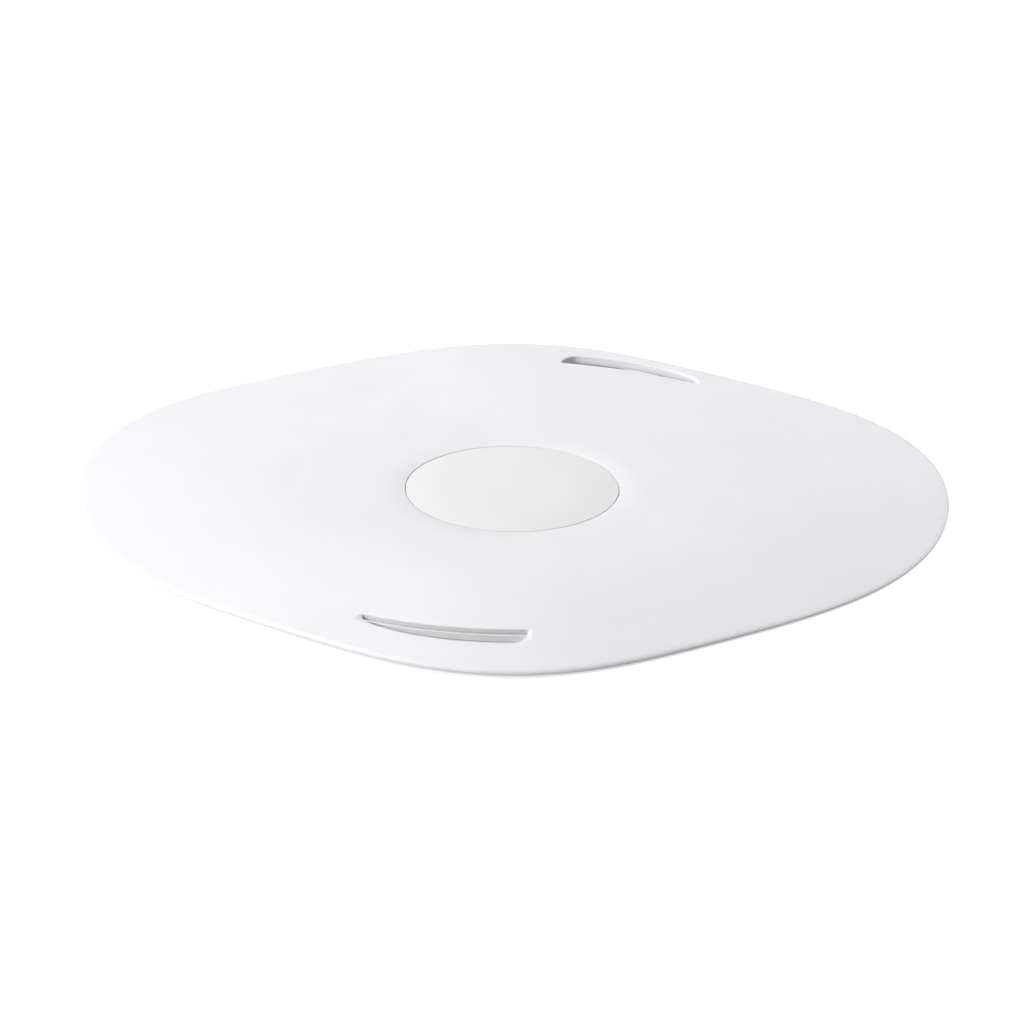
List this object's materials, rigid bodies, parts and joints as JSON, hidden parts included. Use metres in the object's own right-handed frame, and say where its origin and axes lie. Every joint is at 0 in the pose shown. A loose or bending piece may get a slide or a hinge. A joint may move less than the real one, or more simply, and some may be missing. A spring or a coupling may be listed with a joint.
{
  "type": "ceiling access point",
  "caption": "Thin pebble-shaped wireless access point with a soft rhombic face, crescent vent slots, a port bay behind and a twist-lock ceiling bracket.",
  "frame": {"origin": "centre of the bracket's ceiling face, the lowest face of the object", "axes": "+Z from the ceiling into the room, +X along the long diagonal of the face, -Y towards the front corner"},
  "size_m": [0.244, 0.2306, 0.036],
  "materials": {
    "cover_white": "fine satin moulding",
    "disc_grey": "satin",
    "liner_grey": "matte",
    "base_white": "fine texture",
    "zinc_steel": "zinc plated",
    "spring_steel": "bright",
    "aluminium": "cast",
    "silicone_pad": "matte",
    "board_green": "solder mask",
    "black_resin": "moulded resin",
    "tinned_steel": "tinned",
    "cream_plastic": "satin",
    "clear_acrylic": "clear"
  },
  "bodies": {
    "bracket": {"ceiling_bracket": "zinc_steel"},
    "latch": {"latch_tongue": "spring_steel"},
    "access_point": {"top_cover": "cover_white", "centre_disc": "disc_grey", "front_slot_liner": "liner_grey", "rear_slot_liner": "liner_grey", "base_housing": "base_white", "main_board": "board_green", "heat_spreader": "aluminium", "thermal_pad": "silicone_pad", "processor": "black_resin", "memory_chip": "black_resin", "radio_shield_2g": "tinned_steel", "radio_shield_5g": "tinned_steel", "antenna_1": "tinned_steel", "antenna_2": "tinned_steel", "antenna_3": "tinned_steel", "antenna_4": "tinned_steel", "uplink_jack": "tinned_steel", "second_jack": "tinned_steel", "lan_magnetics": "black_resin", "power_transformer": "black_resin", "bulk_capacitor": "black_resin", "power_inlet": "black_resin", "reset_switch": "black_resin", "status_light": "cream_plastic", "light_pipe": "clear_acrylic", "cover_screw_1": "zinc_steel", "board_screw_1": "zinc_steel", "hook_stud_1": "zinc_steel", "cover_screw_2": "zinc_steel", "board_screw_2": "zinc_steel", "hook_stud_2": "zinc_steel", "cover_screw_3": "zinc_steel", "board_screw_3": "zinc_steel", "hook_stud_3": "zinc_steel", "cover_screw_4": "zinc_steel", "board_screw_4": "zinc_steel", "hook_stud_4": "zinc_steel"},
    "reset": {"reset_button": "cream_plastic"}
  },
  "joints": [
    {"name": "twist_lock", "type": "hinge", "parent": "bracket", "child": "access_point", "pos_m": [0, 0, 0], "axis": [0, 0, 1], "range_deg": [0, 15]},
    {"name": "latch_flex", "type": "hinge", "parent": "bracket", "child": "latch", "pos_m": [0.02679, -0.0111, 0.0044], "axis": [0.3827, 0.9239, 0], "range_deg": [0, 4.5], "stiffness_Nm_per_rad": 0.6},
    {"name": "reset_press", "type": "slide", "parent": "access_point", "child": "reset", "axis": [0, 1, 0], "range_m": [0, 0.0005], "stiffness_N_per_m": 2000}
  ]
}
